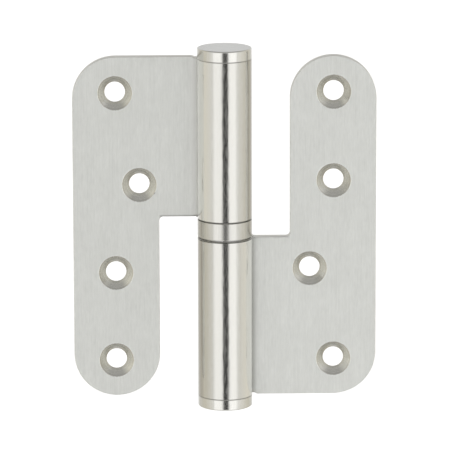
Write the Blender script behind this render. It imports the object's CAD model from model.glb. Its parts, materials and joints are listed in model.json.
import json
from math import acos, atan2, cos, hypot, pi, radians, sin, sqrt, tan

import bmesh
import bpy
from mathutils import Matrix, Vector


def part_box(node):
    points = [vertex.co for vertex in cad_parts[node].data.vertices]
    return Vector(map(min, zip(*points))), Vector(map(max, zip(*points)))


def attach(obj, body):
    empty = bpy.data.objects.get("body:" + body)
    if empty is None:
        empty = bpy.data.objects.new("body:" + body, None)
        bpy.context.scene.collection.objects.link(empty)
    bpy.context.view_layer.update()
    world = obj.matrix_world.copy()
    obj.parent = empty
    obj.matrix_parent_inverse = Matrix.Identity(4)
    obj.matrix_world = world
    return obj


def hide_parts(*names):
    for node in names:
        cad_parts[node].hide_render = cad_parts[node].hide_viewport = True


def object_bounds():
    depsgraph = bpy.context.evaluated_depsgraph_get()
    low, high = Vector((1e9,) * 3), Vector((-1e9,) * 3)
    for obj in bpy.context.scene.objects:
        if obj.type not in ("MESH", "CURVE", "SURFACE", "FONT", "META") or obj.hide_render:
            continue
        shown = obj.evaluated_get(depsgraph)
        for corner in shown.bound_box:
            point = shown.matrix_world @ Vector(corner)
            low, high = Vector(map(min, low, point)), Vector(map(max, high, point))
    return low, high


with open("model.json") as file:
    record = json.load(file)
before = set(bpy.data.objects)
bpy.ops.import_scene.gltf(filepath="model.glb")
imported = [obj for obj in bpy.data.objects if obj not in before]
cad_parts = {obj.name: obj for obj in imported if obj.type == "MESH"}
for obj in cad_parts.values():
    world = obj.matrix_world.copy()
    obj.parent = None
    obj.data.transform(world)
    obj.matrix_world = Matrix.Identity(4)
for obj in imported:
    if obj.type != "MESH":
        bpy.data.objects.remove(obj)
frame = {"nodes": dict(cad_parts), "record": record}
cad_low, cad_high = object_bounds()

# Lift-off hinge in satin and polished stainless steel. Metres, in the frame of the solids: +Z up along the
# pin, the countersunk faces look towards -Y. Sizes that the solids give are read from them; the rest follow.

mm = 0.001

# Sizes read from the frame
leaf_low, leaf_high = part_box("door_leaf")
cap_low, cap_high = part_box("top_cap")
cup_low, cup_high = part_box("bearing_cup")
pin_low, pin_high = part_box("hinge_pin")
race_low, race_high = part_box("lower_race")
mounts = {mount["name"]: mount for mount in frame["record"]["mounts"]}

leaf_reach = -leaf_low.x
leaf_end = leaf_high.z
knuckle_radius = cup_high.x
knuckle_inner = cup_high.z
bore_radius = pin_high.x
leaf_thickness = knuckle_radius - bore_radius
back_face = mounts["door_back"]["pos_m"][1]
front_face = back_face - leaf_thickness
hole_radius = mounts["door_screws_outer"]["dims"]["hole_r_mm"] * mm

# Sizes of the leaf that no box gives
tongue_width = 25.3 * mm
notch_radius = 1.2 * mm
joggle_radius = 8.0 * mm
roll_slit = 0.3 * mm
knuckle_setback = 0.4 * mm
facing_reach = 8.7 * mm
facing_radius = 2.0 * mm
leaf_relief = 0.3 * mm
relief_side_gap = 0.3 * mm
countersink_radius = 5.1 * mm
edge_rounding = 0.16 * mm   # blanked and faced edges
knuckle_outer = leaf_end - knuckle_setback
tongue_inner = leaf_reach - tongue_width
wide_end = knuckle_inner + leaf_relief

# Sizes of the turned pieces that no box gives
cap_rounding = 0.4 * mm
seam_rounding = 0.12 * mm
spigot_rounding = 0.4 * mm
cup_rounding = 0.2 * mm
cup_bore_rounding = 0.2 * mm
cup_relief_height = 0.25 * mm
cup_relief_depth = 0.6 * mm
skirt_thickness = 0.6 * mm
skirt_rounding = 0.1 * mm
running_clearance = 0.05 * mm
pin_lead = 1.6 * mm
pin_lead_inset = 0.9 * mm
pin_lead_rounding = 0.8 * mm
pin_end_rounding = 0.5 * mm
pin_foot_chamfer = 0.5 * mm
race_rounding = 0.1 * mm

# Fineness of the meshes
arc_step = radians(2.0)
turned_segments = 180
hole_segments = 96
rounding_steps = 5
bevel_segments = 3
bevel_angle = radians(30)    # edges sharper than this are rounded
smooth_angle = radians(40)   # and past this the shading breaks
area_weight = 100            # how much the larger faces count in the shading
cutter_overrun = 2 * mm
eye_margin = 0.1 * mm        # a face within this of the knuckle's radius is part of the eye


# Outlines

def on_circle(centre, radius, angle):
    return (centre[0] + radius * cos(angle), centre[1] + radius * sin(angle))


def arc(centre, radius, start, end):
    """Points along an arc, both ends included."""
    steps = max(2, round(abs(end - start) / arc_step))
    return [on_circle(centre, radius, start + (end - start) * i / steps) for i in range(steps + 1)]


def angle_of(point, centre=(0.0, 0.0)):
    return atan2(point[1] - centre[1], point[0] - centre[0]) % (2 * pi)


def circles_meet(radius, centre, other_radius):
    """Where a circle about the pin axis meets another one, on that one's anticlockwise side."""
    distance = hypot(*centre)
    along = (radius**2 - other_radius**2 + distance**2) / (2 * distance)
    across = sqrt(radius**2 - along**2)
    ux, uy = centre[0] / distance, centre[1] / distance
    return (along * ux - across * uy, along * uy + across * ux)


def rolled_section():
    """The leaf seen along the pin: the flat, the joggle, and the eye rolled round by way of the back."""
    eye_mean = bore_radius + leaf_thickness / 2
    flat_mean = front_face + leaf_thickness / 2
    past_blank = -2 * leaf_reach
    leave = pi / 2 + acos((flat_mean + joggle_radius) / (eye_mean + joggle_radius))
    joggle = on_circle((0, 0), eye_mean + joggle_radius, leave)
    front_radius = joggle_radius + leaf_thickness / 2
    back_radius = joggle_radius - leaf_thickness / 2
    tip_radius = front_radius + roll_slit
    tip_inner = circles_meet(bore_radius, joggle, tip_radius)
    tip_outer = circles_meet(knuckle_radius, joggle, tip_radius)
    down = 3 * pi / 2
    return (
        [(past_blank, back_face), (past_blank, front_face)]
        + arc(joggle, front_radius, down, leave + pi)
        + arc((0, 0), bore_radius, leave, angle_of(tip_inner) - 2 * pi)[1:]
        + arc(joggle, tip_radius, angle_of(tip_inner, joggle), angle_of(tip_outer, joggle))[1:]
        + arc((0, 0), knuckle_radius, angle_of(tip_outer) - 2 * pi, leave)[1:]
        + arc(joggle, back_radius, leave + pi, down)[1:]
    )


def blank_outline():
    """The leaf seen from the front, in X and Z; the eye's part runs past the pin axis."""
    end_radius = tongue_width / 2
    past_eye = 2 * knuckle_radius
    relief_reach = knuckle_radius + relief_side_gap
    run_out = sqrt(2 * facing_radius * knuckle_setback - knuckle_setback**2)
    facing_centre = (-facing_reach - run_out, leaf_end - facing_radius)
    facing_end = (-facing_reach, knuckle_outer)
    end_centre = -leaf_reach + end_radius
    notch_centre = (-tongue_inner + notch_radius, wide_end - notch_radius)
    return (
        arc((end_centre, -leaf_end + end_radius), end_radius, 0, -pi)
        + arc((end_centre, leaf_end - end_radius), end_radius, pi, pi / 2)
        + arc(facing_centre, facing_radius, pi / 2, angle_of(facing_end, facing_centre))
        + [
            (past_eye, knuckle_outer),
            (past_eye, knuckle_inner),
            (-relief_reach, knuckle_inner),
            (-relief_reach, wide_end),
        ]
        + arc(notch_centre, notch_radius, pi / 2, pi)
    )


def rounded(points, radii):
    """A closed profile with some of its corners rounded: radii gives a radius for each corner, or 0."""
    made = []
    for i, (corner, radius) in enumerate(zip(points, radii)):
        if not radius:
            made.append(corner)
            continue
        here = Vector(corner)
        to_last = (Vector(points[i - 1]) - here).normalized()
        to_next = (Vector(points[(i + 1) % len(points)]) - here).normalized()
        half = to_last.angle(to_next) / 2
        centre = here + (to_last + to_next).normalized() * radius / sin(half)
        first = here + to_last * radius / tan(half)
        last = here + to_next * radius / tan(half)
        start = atan2(first.y - centre.y, first.x - centre.x)
        turn = atan2(last.y - centre.y, last.x - centre.x) - start
        turn = (turn + pi) % (2 * pi) - pi
        for k in range(rounding_steps + 1):
            made.append(on_circle(centre, radius, start + turn * k / rounding_steps))
    return made


# Meshes

def new_object(name, mesh):
    made = bpy.data.objects.new(name, mesh)
    bpy.context.scene.collection.objects.link(made)
    return made


def finish_mesh(name, work, material):
    """An object from a closed work mesh, with its faces looking outwards."""
    bmesh.ops.recalc_face_normals(work, faces=work.faces)
    mesh = bpy.data.meshes.new(name)
    work.to_mesh(mesh)
    work.free()
    mesh.materials.append(material)
    return new_object(name, mesh)


def prism(name, outline, axes, low, high, material):
    """A closed solid from an outline in two of the axes, drawn along the third."""
    third = ({0, 1, 2} - set(axes)).pop()
    work = bmesh.new()
    rings = []
    for level in (low, high):
        ring = []
        for point in outline:
            place = [0.0, 0.0, 0.0]
            place[axes[0]], place[axes[1]], place[third] = point[0], point[1], level
            ring.append(work.verts.new(place))
        rings.append(ring)
        work.faces.new(ring)
    count = len(outline)
    for i in range(count):
        j = (i + 1) % count
        work.faces.new((rings[0][i], rings[0][j], rings[1][j], rings[1][i]))
    return finish_mesh(name, work, material)


def lathe(name, profile, material, axis="Z", segments=turned_segments, centre=(0, 0, 0)):
    """A closed solid turned about an axis through a centre, from a closed profile of radius and height."""
    work = bmesh.new()
    rings = []
    for radius, height in profile:
        ring = []
        for k in range(segments if radius else 1):
            turn = 2 * pi * k / segments
            place = Vector((radius * cos(turn), radius * sin(turn), height))
            if axis == "Y":
                place = Vector((place.x, place.z, -place.y))
            ring.append(work.verts.new(place + Vector(centre)))
        rings.append(ring)
    for ring, other in zip(rings, rings[1:] + rings[:1]):
        for k in range(segments):
            n = (k + 1) % segments
            if len(ring) > 1 and len(other) > 1:
                work.faces.new((ring[k], ring[n], other[n], other[k]))
            elif len(ring) > 1:
                work.faces.new((ring[k], ring[n], other[0]))
            elif len(other) > 1:
                work.faces.new((ring[0], other[n], other[k]))
    return finish_mesh(name, work, material)


def apply_modifiers(target):
    graph = bpy.context.evaluated_depsgraph_get()
    made = bpy.data.meshes.new_from_object(target.evaluated_get(graph))
    target.modifiers.clear()
    target.data = made


def combine(target, tool, operation):
    """Cuts a tool from a target, or keeps what both share, and deletes the tool."""
    step = target.modifiers.new("combine", "BOOLEAN")
    step.operation = operation
    step.solver = "EXACT"
    step.material_mode = "TRANSFER"
    step.object = tool
    apply_modifiers(target)
    bpy.data.objects.remove(tool)


def round_edges(target, width):
    step = target.modifiers.new("edges", "BEVEL")
    step.width = width
    step.segments = bevel_segments
    step.limit_method = "ANGLE"
    step.angle_limit = bevel_angle
    step.use_clamp_overlap = False
    step.harden_normals = False


def shade(target):
    """Shades flat faces flat and round ones round, and lays the grain."""
    step = target.modifiers.new("shading", "WEIGHTED_NORMAL")
    step.keep_sharp = True
    step.weight = area_weight
    target.data.shade_smooth()
    target.data.set_sharp_from_angle(angle=smooth_angle)
    apply_modifiers(target)
    lay_grain(target)


def lay_grain(target):
    """Texture coordinates that run round the pin in U and along it in V, so that the grain stands upright."""
    mesh = target.data
    layer = mesh.uv_layers.new(name="grain")
    for face in mesh.polygons:
        middle = atan2(face.center.y, face.center.x)
        on_eye = hypot(face.center.x, face.center.y) < knuckle_radius + eye_margin
        for corner in face.loop_indices:
            place = mesh.vertices[mesh.loops[corner].vertex_index].co
            turn = (atan2(place.y, place.x) - middle + pi) % (2 * pi) - pi + middle
            layer.data[corner].uv = (turn * knuckle_radius if on_eye else place.x, place.z)


def half_turned(source, name):
    """A copy turned upside down about the Y axis."""
    made = new_object(name, source.data.copy())
    made.matrix_world = Matrix.Rotation(pi, 4, "Y")
    return made


# Shader nodes

whole = (0.0, 1.0)
falling = (1.0, 0.0)
most_noise = (0.3, 0.7)      # noise seldom leaves this span, so tones are spread over it
inner_noise = (0.35, 0.65)   # a harder contrast
noise_roughness = 0.6


def add_node(tree, kind, inputs=None, **settings):
    """A node with its settings, and its inputs given as values or as sockets to link from."""
    made = tree.nodes.new(kind)
    for key, value in settings.items():
        setattr(made, key, value)
    for key, value in (inputs or {}).items():
        set_socket(tree, made.inputs[key], value)
    return made


def set_socket(tree, socket, value):
    """Gives a socket a value, or links it from another socket."""
    if isinstance(value, bpy.types.NodeSocket):
        tree.links.new(value, socket)
    else:
        socket.default_value = value


def math_node(tree, operation, *values):
    return add_node(tree, "ShaderNodeMath", dict(enumerate(values)), operation=operation).outputs[0]


def vector_node(tree, operation, inputs):
    return add_node(tree, "ShaderNodeVectorMath", inputs, operation=operation).outputs


def ranged(tree, value, span, result):
    """Maps a value from one span to another, and holds it at the ends."""
    made = add_node(
        tree, "ShaderNodeMapRange",
        {"Value": value, "From Min": span[0], "From Max": span[1], "To Min": result[0], "To Max": result[1]},
    )
    return made.outputs[0]


def mixed(tree, factor, one, other):
    """A colour between two, all of the first where the factor is 0."""
    made = add_node(tree, "ShaderNodeMix", {0: factor, 6: one, 7: other}, data_type="RGBA")
    return made.outputs[2]


def separate(tree, place):
    return add_node(tree, "ShaderNodeSeparateXYZ", {0: place}).outputs


def stretched_noise(tree, place, sizes, detail=3.0):
    """Noise whose features have the given sizes along X, Y and Z."""
    scaled = add_node(tree, "ShaderNodeMapping", {"Vector": place, "Scale": [1 / size for size in sizes]})
    made = add_node(
        tree, "ShaderNodeTexNoise",
        {"Vector": scaled.outputs[0], "Scale": 1.0, "Detail": detail, "Roughness": noise_roughness},
    )
    return made.outputs["Fac"]


def distance_along(tree, place, axes):
    """Distance from the origin, measured along some of the axes: 1 for those that count, 0 for the rest."""
    flat = vector_node(tree, "MULTIPLY", {0: place, 1: axes})[0]
    return vector_node(tree, "LENGTH", {0: flat})["Value"]


def axis_distance(tree, place):
    """Distance from the pin axis."""
    return distance_along(tree, place, (1.0, 1.0, 0.0))


def ring_noise(tree, distance, width):
    """Noise in rings of a width, from the distance to their axis."""
    place = add_node(tree, "ShaderNodeCombineXYZ", {"X": distance}).outputs[0]
    return stretched_noise(tree, place, (width, 1.0, 1.0))


def bumped(tree, shader, height, depth):
    made = add_node(tree, "ShaderNodeBump", {"Height": height, "Strength": 1.0, "Distance": depth})
    set_socket(tree, shader.inputs["Normal"], made.outputs[0])


def metal(name, anisotropy=0.0):
    """A new metal material: its tree, its shader and the object's own coordinates."""
    made = bpy.data.materials.new(name)
    made.use_nodes = True
    tree = made.node_tree
    shader = tree.nodes["Principled BSDF"]
    shader.inputs["Metallic"].default_value = 1.0
    shader.inputs["Anisotropic"].default_value = anisotropy
    if anisotropy:
        along = add_node(tree, "ShaderNodeTangent", direction_type="UV_MAP", uv_map="grain")
        set_socket(tree, shader.inputs["Tangent"], along.outputs[0])
    place = tree.nodes.new("ShaderNodeTexCoord").outputs["Object"]
    return made, tree, shader, place


# Steel of the leaves and the barrel

# Sizes of the grain's features along X, Y and Z
fine_grain = (0.22 * mm, 0.22 * mm, 3 * mm)
broad_grain = (0.6 * mm, 0.6 * mm, 2.2 * mm)
streak_grain = (0.5 * mm, 0.5 * mm, 30 * mm)
cloud_size = (9 * mm, 9 * mm, 14 * mm)
turned_grain = (0.3 * mm, 0.3 * mm, 6 * mm)
wave_size = (3 * mm, 3 * mm, 6 * mm)
turned_ring_width = 0.16 * mm
grain_weights = (0.36, 0.34, 0.30)   # of the fine, the broad and the streaked grain

# Depths of the bump, and shares of it
steel_bump = 0.012 * mm
polished_grain_share = 0.35   # of the grain on polished faces
wave_share = 3.4              # of the waves that hand polishing leaves

satin_anisotropy = 0.6
turned_anisotropy = 0.3
satin_roughness = (0.42, 0.52)
cloud_roughness = (-0.02, 0.02)
eye_roughness = (0.06, 0.26)
turned_roughness_spread = 0.06

shaded_satin = (0.45, 0.45, 0.43, 1)
bright_satin = (0.97, 0.97, 0.94, 1)
eye_light = (0.655, 0.648, 0.618, 1)
eye_dark = (0.590, 0.580, 0.540, 1)
bright_eye = (0.805, 0.800, 0.772, 1)      # on the side of the eye that the leaf comes in on
brown_polish = (0.340, 0.310, 0.250, 1)    # on the other side
cap_end_tone = (0.510, 0.512, 0.490, 1)
seam_grime = (0.06, 0.057, 0.050, 1)

# Where one finish goes over into the next
eye_edge = knuckle_radius + 0.02 * mm
eye_span = (eye_edge, eye_edge + 0.05 * mm)                          # distance from the pin axis
cap_end_span = (cap_high.z - 0.06 * mm, cap_high.z - 0.01 * mm)      # Z
near_eye_span = (-10.6 * mm, -8.3 * mm)                              # X
joint_span = (-9.3 * mm, -8.3 * mm)                                  # X
far_side_span = (6.3 * mm, 7.0 * mm)                                 # X
flank_span = (5.6 * mm, 7.0 * mm)                                    # X to either side
notch_height_span = (wide_end + 0.30 * mm, wide_end + 0.58 * mm)     # Z
notch_side_span = (-tongue_inner - 0.2 * mm, -tongue_inner + 0.6 * mm)   # X
cloud_shade = (0.0, 0.12)
far_side_shade = (0.0, 0.4)

# Seams, each with its height, its strength and half the height of its grime, full and faded out
thin_line = (0.12 * mm, 0.28 * mm)
thick_line = (0.24 * mm, 0.42 * mm)
cap_seam = (knuckle_outer, 0.25, thin_line)

door_finish = {
    "light": (0.825, 0.832, 0.800, 1),
    "dark": (0.696, 0.703, 0.668, 1),
    "bright_strip": (-5.9 * mm, -3.4 * mm),   # X where the eye's bright side is full, and where it ends
    "notch": 1.0,                             # strength of the shade along the notch
    "by_eye": 0.65,                           # of the lighter strip beside the eye
    "joint": 0.04,                            # of the grime in the joint between leaf and eye
    "seams": (cap_seam, (knuckle_inner, 1.0, thin_line)),
}
frame_finish = {
    "light": (0.850, 0.858, 0.826, 1),
    "dark": (0.720, 0.727, 0.692, 1),
    "bright_strip": (-6.4 * mm, -4.4 * mm),
    "notch": 0.2,
    "by_eye": 0.0,
    "joint": 0.21,
    "seams": (cap_seam, (knuckle_inner, 1.0, thick_line)),
}
cap_finish = {
    "light": (0.720, 0.712, 0.682, 1),
    "dark": (0.655, 0.645, 0.605, 1),
    "roughness": 0.18,
    "flanks": 0.0,
    "seams": (cap_seam,),
}
ring_finish = {
    "light": (0.645, 0.636, 0.603, 1),
    "dark": (0.580, 0.570, 0.532, 1),
    "roughness": 0.24,
    "flanks": 0.3,
    "seams": ((knuckle_inner, 1.0, thin_line), (-knuckle_inner, 1.0, thick_line)),
}


def leaf_steel(name, finish):
    """Satin flats with upright grain, going over into the finer polish of the rolled eye."""
    made, tree, shader, place = metal(name, satin_anisotropy)
    parts = separate(tree, place)
    fine = stretched_noise(tree, place, fine_grain, detail=4.0)
    cloud = stretched_noise(tree, place, cloud_size)
    grain = leaf_grain(tree, place, fine)
    tone = ranged(tree, grain, most_noise, whole)
    on_flat = ranged(tree, axis_distance(tree, place), eye_span, whole)
    flat = satin_tone(tree, parts, tone, cloud, finish)
    eye = eye_tone(tree, parts, tone, finish)
    set_socket(tree, shader.inputs["Base Color"], mixed(tree, on_flat, eye, flat))

    flat_rough = ranged(tree, grain, most_noise, satin_roughness)
    flat_rough = math_node(tree, "ADD", flat_rough, ranged(tree, cloud, most_noise, cloud_roughness))
    eye_rough = ranged(tree, grain, most_noise, eye_roughness)
    rough = add_node(tree, "ShaderNodeMix", {0: on_flat, 2: eye_rough, 3: flat_rough}, data_type="FLOAT")
    set_socket(tree, shader.inputs["Roughness"], rough.outputs[0])

    depth = math_node(tree, "MULTIPLY", fine, ranged(tree, on_flat, whole, (polished_grain_share, 1.0)))
    waves = math_node(tree, "MULTIPLY", polish_waves(tree, place), ranged(tree, on_flat, whole, falling))
    bumped(tree, shader, math_node(tree, "ADD", depth, waves), steel_bump)
    return made


def leaf_grain(tree, place, fine):
    """The fine, the broad and the streaked grain added up."""
    broad = stretched_noise(tree, place, broad_grain)
    streak = stretched_noise(tree, place, streak_grain)
    grain = 0.0
    for part, weight in zip((fine, broad, streak), grain_weights):
        grain = math_node(tree, "ADD", math_node(tree, "MULTIPLY", part, weight), grain)
    return grain


def satin_tone(tree, parts, tone, cloud, finish):
    """Colour of the flats, with what they show beside the eye, in the joint and along the notch."""
    satin = mixed(tree, tone, finish["dark"], finish["light"])
    satin = mixed(tree, ranged(tree, cloud, inner_noise, cloud_shade), satin, shaded_satin)
    near_eye = ranged(tree, parts["X"], near_eye_span, (0.0, finish["by_eye"]))
    satin = mixed(tree, near_eye, satin, bright_satin)
    along_notch = math_node(tree, "MULTIPLY", on_notch(tree, parts), finish["notch"])
    satin = mixed(tree, along_notch, satin, shaded_satin)
    in_joint = ranged(tree, parts["X"], joint_span, (0.0, finish["joint"]))
    return mixed(tree, in_joint, satin, seam_grime)


def eye_tone(tree, parts, tone, finish):
    """Colour of the rolled eye: brighter where the leaf comes in, browner on the far side, dark at seams."""
    polish = mixed(tree, tone, eye_dark, eye_light)
    polish = mixed(tree, ranged(tree, parts["X"], finish["bright_strip"], falling), polish, bright_eye)
    polish = mixed(tree, ranged(tree, parts["X"], far_side_span, far_side_shade), polish, brown_polish)
    return mixed(tree, near_seam(tree, parts, finish["seams"]), polish, seam_grime)


def on_notch(tree, parts):
    """1 on the narrow strip of the face that the shears drew down along the notch, 0 elsewhere."""
    strip = ranged(tree, parts["Z"], notch_height_span, falling)
    beside = ranged(tree, parts["X"], notch_side_span, whole)
    return math_node(tree, "MULTIPLY", strip, beside)


def near_seam(tree, parts, seams):
    """How much grime the polishing left at a place: 0 away from the seams."""
    share = 0.0
    for height, strength, line in seams:
        away = math_node(tree, "ABSOLUTE", math_node(tree, "SUBTRACT", parts["Z"], height))
        share = math_node(tree, "MAXIMUM", ranged(tree, away, line, (strength, 0.0)), share)
    return share


def polish_waves(tree, place):
    """The slight unevenness that hand polishing leaves, which makes the edges of reflections waver."""
    return math_node(tree, "MULTIPLY", stretched_noise(tree, place, wave_size, detail=2.0), wave_share)


def polished_steel(name, finish):
    """Caps and ring: turned, then polished, with faint rings on the ends; the ring has browner flanks."""
    made, tree, shader, place = metal(name, turned_anisotropy)
    parts = separate(tree, place)
    fine = stretched_noise(tree, place, turned_grain)
    rings = ring_noise(tree, axis_distance(tree, place), turned_ring_width)
    polish = mixed(tree, ranged(tree, fine, most_noise, whole), finish["dark"], finish["light"])
    aside = math_node(tree, "ABSOLUTE", parts["X"])
    polish = mixed(tree, ranged(tree, aside, flank_span, (0.0, finish["flanks"])), polish, brown_polish)
    polish = mixed(tree, ranged(tree, parts["Z"], cap_end_span, whole), polish, cap_end_tone)
    polish = mixed(tree, near_seam(tree, parts, finish["seams"]), polish, seam_grime)
    set_socket(tree, shader.inputs["Base Color"], polish)
    middle, spread = finish["roughness"], turned_roughness_spread
    rough = ranged(tree, rings, most_noise, (middle - spread, middle + spread))
    set_socket(tree, shader.inputs["Roughness"], rough)
    depth = math_node(tree, "MULTIPLY", rings, polished_grain_share)
    bumped(tree, shader, math_node(tree, "ADD", depth, polish_waves(tree, place)), steel_bump)
    return made


# Cut and ground metals

torn_size = (0.25 * mm, 2.5 * mm, 0.25 * mm)
cut_dark = (0.68, 0.67, 0.64, 1)
cut_light = (0.90, 0.89, 0.86, 1)
cut_tint = (0.75, 0.75, 0.72, 1)
cut_roughness = (0.30, 0.42)
cut_bump = 0.01 * mm

sink_ring_width = 0.2 * mm
cone_dark = (0.69, 0.68, 0.63, 1)
cone_light = (0.86, 0.85, 0.79, 1)
cone_rim = (0.36, 0.35, 0.31, 1)
hole_tone = (0.62, 0.61, 0.57, 1)
sink_tint = (0.6, 0.6, 0.57, 1)
sink_roughness = (0.17, 0.26)
rim_span = (countersink_radius - 0.9 * mm, countersink_radius)     # distance from the hole's axis
rim_shade = (0.0, 0.22)
hole_span = (hole_radius + 0.02 * mm, hole_radius + 0.12 * mm)

ground_ring_size = (6 * mm, 6 * mm, 0.12 * mm)
ground_roughness_spread = 0.04
ground_bump = 0.003 * mm
pin_finish = {"light": (0.60, 0.60, 0.58, 1), "dark": (0.50, 0.50, 0.48, 1), "roughness": 0.24}
race_finish = {"light": (0.62, 0.62, 0.61, 1), "dark": (0.54, 0.54, 0.53, 1), "roughness": 0.14}
ball_finish = {"light": (0.76, 0.76, 0.76, 1), "dark": (0.70, 0.70, 0.70, 1), "roughness": 0.10}
brass_finish = {"light": (0.80, 0.62, 0.32, 1), "dark": (0.66, 0.48, 0.22, 1), "roughness": 0.28}


def cut_steel():
    """Blanked edges: sheared, with torn marks that run through the thickness of the sheet."""
    made, tree, shader, place = metal("cut_steel")
    shader.inputs["Specular Tint"].default_value = cut_tint
    torn = stretched_noise(tree, place, torn_size)
    set_socket(tree, shader.inputs["Base Color"], mixed(tree, torn, cut_dark, cut_light))
    set_socket(tree, shader.inputs["Roughness"], ranged(tree, torn, most_noise, cut_roughness))
    bumped(tree, shader, torn, cut_bump)
    return made


def sink_steel(name, centre):
    """Countersink and hole: cut bright, with rings about the hole's own axis."""
    made, tree, shader, place = metal(name)
    shader.inputs["Specular Tint"].default_value = sink_tint
    moved = vector_node(tree, "SUBTRACT", {0: place, 1: centre})[0]
    reach = distance_along(tree, moved, (1.0, 0.0, 1.0))
    rings = ring_noise(tree, reach, sink_ring_width)
    cone = mixed(tree, ranged(tree, rings, inner_noise, whole), cone_dark, cone_light)
    cone = mixed(tree, ranged(tree, reach, rim_span, rim_shade), cone, cone_rim)
    tone = mixed(tree, ranged(tree, reach, hole_span, falling), cone, hole_tone)
    set_socket(tree, shader.inputs["Base Color"], tone)
    set_socket(tree, shader.inputs["Roughness"], ranged(tree, rings, inner_noise, sink_roughness))
    bumped(tree, shader, rings, steel_bump)
    return made


def ground_metal(name, finish):
    """Pin, race, balls and cage: ground round the axis, with fine rings along it."""
    made, tree, shader, place = metal(name)
    rings = stretched_noise(tree, place, ground_ring_size)
    set_socket(tree, shader.inputs["Base Color"], mixed(tree, rings, finish["dark"], finish["light"]))
    middle, spread = finish["roughness"], ground_roughness_spread
    rough = ranged(tree, rings, most_noise, (middle - spread, middle + spread))
    set_socket(tree, shader.inputs["Roughness"], rough)
    bumped(tree, shader, rings, ground_bump)
    return made


# Leaves

def screw_places(side):
    """The X and Z of each screw hole of a leaf, from its mounts."""
    places = []
    for name, mount in mounts.items():
        if not name.startswith(side) or mount["kind"] != "bolt_pattern":
            continue
        x, _, z = mount["pos_m"]
        half = mount["dims"]["spacing_y_mm"] * mm / 2
        places += [(x, z)] if mount["dims"]["count"] == 1 else [(x, z + half), (x, z - half)]
    return places


def screw_cutter(x, z, material):
    """The cutter for one countersunk hole, entered from the front face."""
    sink_depth = countersink_radius - hole_radius   # a 90 degree countersink
    profile = [
        (0, front_face - cutter_overrun),
        (countersink_radius + cutter_overrun, front_face - cutter_overrun),
        (hole_radius, front_face + sink_depth),
        (hole_radius, back_face + cutter_overrun),
        (0, back_face + cutter_overrun),
    ]
    return lathe("cutter", profile, material, axis="Y", segments=hole_segments, centre=(x, 0, z))


def door_leaf():
    """One strip of sheet, blanked, joggled, rolled and drilled."""
    low, high = -2 * leaf_end, 2 * leaf_end
    steel = leaf_steel("door_leaf_steel", door_finish)
    made = prism("door_leaf_sheet", rolled_section(), (0, 1), low, high, steel)
    combine(made, prism("blank", blank_outline(), (0, 2), low, high, cut_steel()), "INTERSECT")
    for number, (x, z) in enumerate(screw_places("door")):
        bare = sink_steel(f"sink_steel_{number}", (x, 0, z))
        combine(made, screw_cutter(x, z, bare), "DIFFERENCE")
    round_edges(made, edge_rounding)
    shade(made)
    return made


def frame_leaf(door):
    """The door leaf turned half round, with its own finish on the faces."""
    made = half_turned(door, "frame_leaf_sheet")
    made.data.materials[0] = leaf_steel("frame_leaf_steel", frame_finish)
    return made


# Turned pieces

def turned_piece(name, corners, radii, material):
    """A turned piece from the corners of its profile and a rounding for each, or 0."""
    made = lathe(name, rounded(corners, radii), material)
    shade(made)
    return made


def top_cap():
    corners = [
        (0, cap_low.z), (bore_radius, cap_low.z), (bore_radius, knuckle_outer),
        (knuckle_radius, knuckle_outer), (knuckle_radius, cap_high.z), (0, cap_high.z),
    ]
    radii = [0, spigot_rounding, 0, seam_rounding, cap_rounding, 0]
    return turned_piece("top_cap_body", corners, radii, polished_steel("barrel_steel", cap_finish))


def bearing_ring():
    race_face = -race_high.z
    inside = knuckle_radius - skirt_thickness
    shoulder = knuckle_inner - cup_relief_height
    neck = knuckle_radius - cup_relief_depth
    corners = [
        (bore_radius, race_face), (inside, race_face), (inside, cup_low.z), (knuckle_radius, cup_low.z),
        (knuckle_radius, shoulder), (neck, shoulder), (neck, knuckle_inner), (bore_radius, knuckle_inner),
    ]
    radii = [0, 0, skirt_rounding, cup_rounding, seam_rounding, 0, 0, cup_bore_rounding]
    return turned_piece("bearing_ring", corners, radii, polished_steel("ring_steel", ring_finish))


def pin():
    journal = bore_radius - running_clearance
    foot = pin_low.z
    corners = [
        (0, foot), (bore_radius - pin_foot_chamfer, foot), (bore_radius, foot + pin_foot_chamfer),
        (bore_radius, -knuckle_inner), (journal, -knuckle_inner), (journal, pin_high.z - pin_lead),
        (journal - pin_lead_inset, pin_high.z), (0, pin_high.z),
    ]
    radii = [0, 0, 0, 0, 0, pin_lead_rounding, pin_end_rounding, 0]
    return turned_piece("pin_body", corners, radii, ground_metal("pin_steel", pin_finish))


def race():
    corners = [
        (bore_radius, race_low.z), (race_high.x, race_low.z),
        (race_high.x, race_high.z), (bore_radius, race_high.z),
    ]
    radii = [0, race_rounding, race_rounding, race_rounding]
    return turned_piece("race_body", corners, radii, ground_metal("race_steel", race_finish))


# Build

def build_pieces():
    """Makes each piece that stands for a node, and puts it on the node's body."""
    door = door_leaf()
    fixed = frame_leaf(door)
    cap = top_cap()
    ring = bearing_ring()
    core = pin()
    washer = race()
    lower_cap = half_turned(cap, "bottom_cap_body")
    pieces = [
        (door, "door_side", "door_leaf", "leaf_steel"),
        (fixed, "frame_side", "frame_leaf", "leaf_steel"),
        (cap, "door_side", "top_cap", "barrel_steel"),
        (lower_cap, "frame_side", "bottom_cap", "barrel_steel"),
        (ring, "bearing", "bearing_cup", "barrel_steel"),
        (core, "frame_side", "hinge_pin", "pin_steel"),
        (washer, "frame_side", "lower_race", "race_steel"),
    ]
    for piece, body, node, slot in pieces:
        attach(piece, body)
        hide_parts(node)


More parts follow.
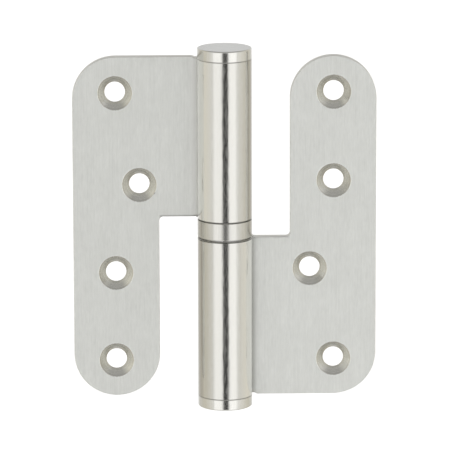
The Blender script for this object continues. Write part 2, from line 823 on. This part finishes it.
def dress_bearing():
    """The balls and their cage keep their solids, and get their metals."""
    ball = ground_metal("ball_steel", ball_finish)
    brass = ground_metal("cage_brass", brass_finish)
    for name in frame["nodes"]:
        if name.startswith("bearing_ball") or name == "ball_cage":
            mesh = frame["nodes"][name].data
            mesh.materials.clear()
            mesh.materials.append(brass if name == "ball_cage" else ball)


# Studio

floor_drop = 0.60
floor_size = 60.0
floor_fibre = (0.02, 0.02, 0.02)
floor_dark = (0.93, 0.93, 0.93, 1)
floor_light = (0.95, 0.95, 0.95, 1)
floor_roughness = 0.9
floor_glow = 0.6
white = (1.0, 1.0, 1.0, 1)

# The camera, fitted to the photograph: angles in degrees, lengths in metres
camera_elevation = 12.37
camera_azimuth = -1.38
camera_roll = 0.15
camera_distance = 1.299
camera_target_x = 0.346 * mm
camera_target_z = 0.394 * mm
camera_far = 200
pixels_per_metre = 3406.0   # at the target, in the 452 pixel frame
frame_pixels = 452
sensor_width = 36.0

# The soft boxes round the object, as brightness and warmth by angle from straight ahead, left to right
studio_light = [
    (-180, 1.00, 0.0), (-154, 1.00, 0.0), (-144, 0.74, 0.6), (-115, 0.75, 1.3), (-98, 0.77, 1.7),
    (-82, 0.81, 1.3), (-65, 0.90, 0.7), (-54, 0.90, 0.3), (-46, 1.36, 0.0), (-10, 1.36, 0.0),
    (10, 1.44, 0.0), (45, 1.44, 0.0), (54, 1.00, 0.2), (65, 0.97, 0.6), (82, 0.90, 1.0),
    (98, 0.83, 1.4), (115, 0.78, 1.6), (144, 0.77, 0.6), (154, 1.00, 0.0), (180, 1.00, 0.0),
]
warm_tint = (1.0, 0.975, 0.90)   # at a warmth of 1

# Elevations over which the light changes, and its brightness past them as a share of that at the side
below_span = (-50.0, -22.0)
below_share = 0.90
above_span = (25.0, 55.0)
above_share = 0.50

# The gap that the camera looks through, which the polished barrel shows as a dark line, and one like it at
# the back. The halves are degrees from the middle, to where the gap is full and to where it has ended.
front_gap = {
    "level": 0.045,
    "azimuth": 1.8,
    "half_width": (10.7, 13.8),
    "elevation": -12.0,
    "half_height": (14.0, 22.0),
}
back_gap = {
    "level": 0.20,
    "azimuth": 180.0,
    "half_width": (5.0, 9.0),
    "elevation": -12.0,
    "half_height": (9.0, 14.0),
}

# The boxes ahead stand low: past these elevations nothing is brighter than the walls
wall_level = 0.82
wall_above = (2.0, 12.0)
wall_below = (-50.0, -36.0)


def build_floor():
    half = floor_size / 2
    corners = [(-half, -half, 0), (half, -half, 0), (half, half, 0), (-half, half, 0)]
    mesh = bpy.data.meshes.new("floor")
    mesh.from_pydata(corners, [], [(0, 1, 2, 3)])
    mesh.materials.append(floor_paper())
    floor = new_object("floor", mesh)
    floor.location.z = cad_low.z - floor_drop
    floor.visible_glossy = False


def floor_paper():
    made = bpy.data.materials.new("floor_paper")
    made.use_nodes = True
    tree = made.node_tree
    shader = tree.nodes["Principled BSDF"]
    place = tree.nodes.new("ShaderNodeTexCoord").outputs["Object"]
    fibre = stretched_noise(tree, place, floor_fibre)
    set_socket(tree, shader.inputs["Base Color"], mixed(tree, fibre, floor_dark, floor_light))
    shader.inputs["Roughness"].default_value = floor_roughness
    shader.inputs["Emission Color"].default_value = white
    shader.inputs["Emission Strength"].default_value = floor_glow
    return made


def by_degrees(tree, angle, span, result):
    """Maps an angle in radians from a span in degrees."""
    return ranged(tree, angle, (radians(span[0]), radians(span[1])), result)


def past_edge(tree, angle, middle, half):
    """0 within the gap, 1 outside it, over the soft edge that half gives in degrees."""
    away = math_node(tree, "ABSOLUTE", math_node(tree, "SUBTRACT", angle, radians(middle)))
    return by_degrees(tree, away, half, whole)


def gap_light(tree, turn, climb, gap):
    """What is left of the light by direction: the gap's level within it, 1 outside."""
    aside = past_edge(tree, turn, gap["azimuth"], gap["half_width"])
    over = past_edge(tree, climb, gap["elevation"], gap["half_height"])
    return ranged(tree, math_node(tree, "MAXIMUM", aside, over), whole, (gap["level"], 1.0))


def soft_boxes(tree, turn):
    """Colour of the light round the object, from the angle to straight ahead."""
    ramp = add_node(tree, "ShaderNodeValToRGB", {"Fac": ranged(tree, turn, (-pi, pi), whole)})
    stops = ramp.color_ramp.elements
    while len(stops) > 1:
        stops.remove(stops[-1])
    for number, (angle, level, warmth) in enumerate(studio_light):
        share = (angle + 180) / 360
        stop = stops[0] if number == 0 else stops.new(share)
        stop.position = share
        stop.color = [level * tint**warmth for tint in warm_tint] + [1]
    return ramp.outputs["Color"]


def walls_and_boxes(tree, boxes, climb):
    """The soft boxes, and past their upper and lower ends only the walls."""
    held = vector_node(tree, "MINIMUM", {0: boxes, 1: [wall_level] * 3})[0]
    above = by_degrees(tree, climb, wall_above, whole)
    below = by_degrees(tree, climb, wall_below, falling)
    return mixed(tree, math_node(tree, "MAXIMUM", above, below), boxes, held)


def build_world():
    """Light by direction for the object, and plain white for the camera."""
    world = bpy.data.worlds.new("studio")
    bpy.context.scene.world = world
    world.use_nodes = True
    tree = world.node_tree
    parts = separate(tree, tree.nodes.new("ShaderNodeTexCoord").outputs["Generated"])
    turn = math_node(tree, "ARCTAN2", parts["X"], math_node(tree, "MULTIPLY", parts["Y"], -1.0))
    climb = math_node(tree, "ARCSINE", parts["Z"])
    level = math_node(
        tree, "MULTIPLY",
        by_degrees(tree, climb, below_span, (below_share, 1.0)),
        by_degrees(tree, climb, above_span, (1.0, above_share)),
    )
    level = math_node(tree, "MULTIPLY", level, gap_light(tree, turn, climb, front_gap))
    either_side = math_node(tree, "ABSOLUTE", turn)
    level = math_node(tree, "MULTIPLY", level, gap_light(tree, either_side, climb, back_gap))
    walls = walls_and_boxes(tree, soft_boxes(tree, turn), climb)
    lit = vector_node(tree, "SCALE", {0: walls, 3: level})[0]
    seen = add_node(tree, "ShaderNodeLightPath").outputs["Is Camera Ray"]
    set_socket(tree, tree.nodes["Background"].inputs["Color"], mixed(tree, seen, lit, white))


def build_camera():
    tilt, turn = radians(camera_elevation), radians(camera_azimuth)
    back = Vector((sin(turn) * cos(tilt), -cos(turn) * cos(tilt), sin(tilt)))
    facing = (-back).to_track_quat("-Z", "Y")
    right = facing @ Vector((1, 0, 0))
    up = facing @ Vector((0, 1, 0))
    camera = bpy.data.objects.new("camera", bpy.data.cameras.new("camera"))
    bpy.context.scene.collection.objects.link(camera)
    camera.location = right * camera_target_x + up * camera_target_z + back * camera_distance
    camera.rotation_mode = "QUATERNION"
    camera.rotation_quaternion = facing @ Matrix.Rotation(radians(-camera_roll), 3, "Z").to_quaternion()
    camera.data.sensor_width = sensor_width
    camera.data.lens = pixels_per_metre * camera_distance / frame_pixels * sensor_width
    camera.data.clip_end = camera_far
    bpy.context.scene.camera = camera


build_pieces()
dress_bearing()
build_floor()
build_world()
build_camera()
bpy.context.scene.view_settings.view_transform = "Standard"
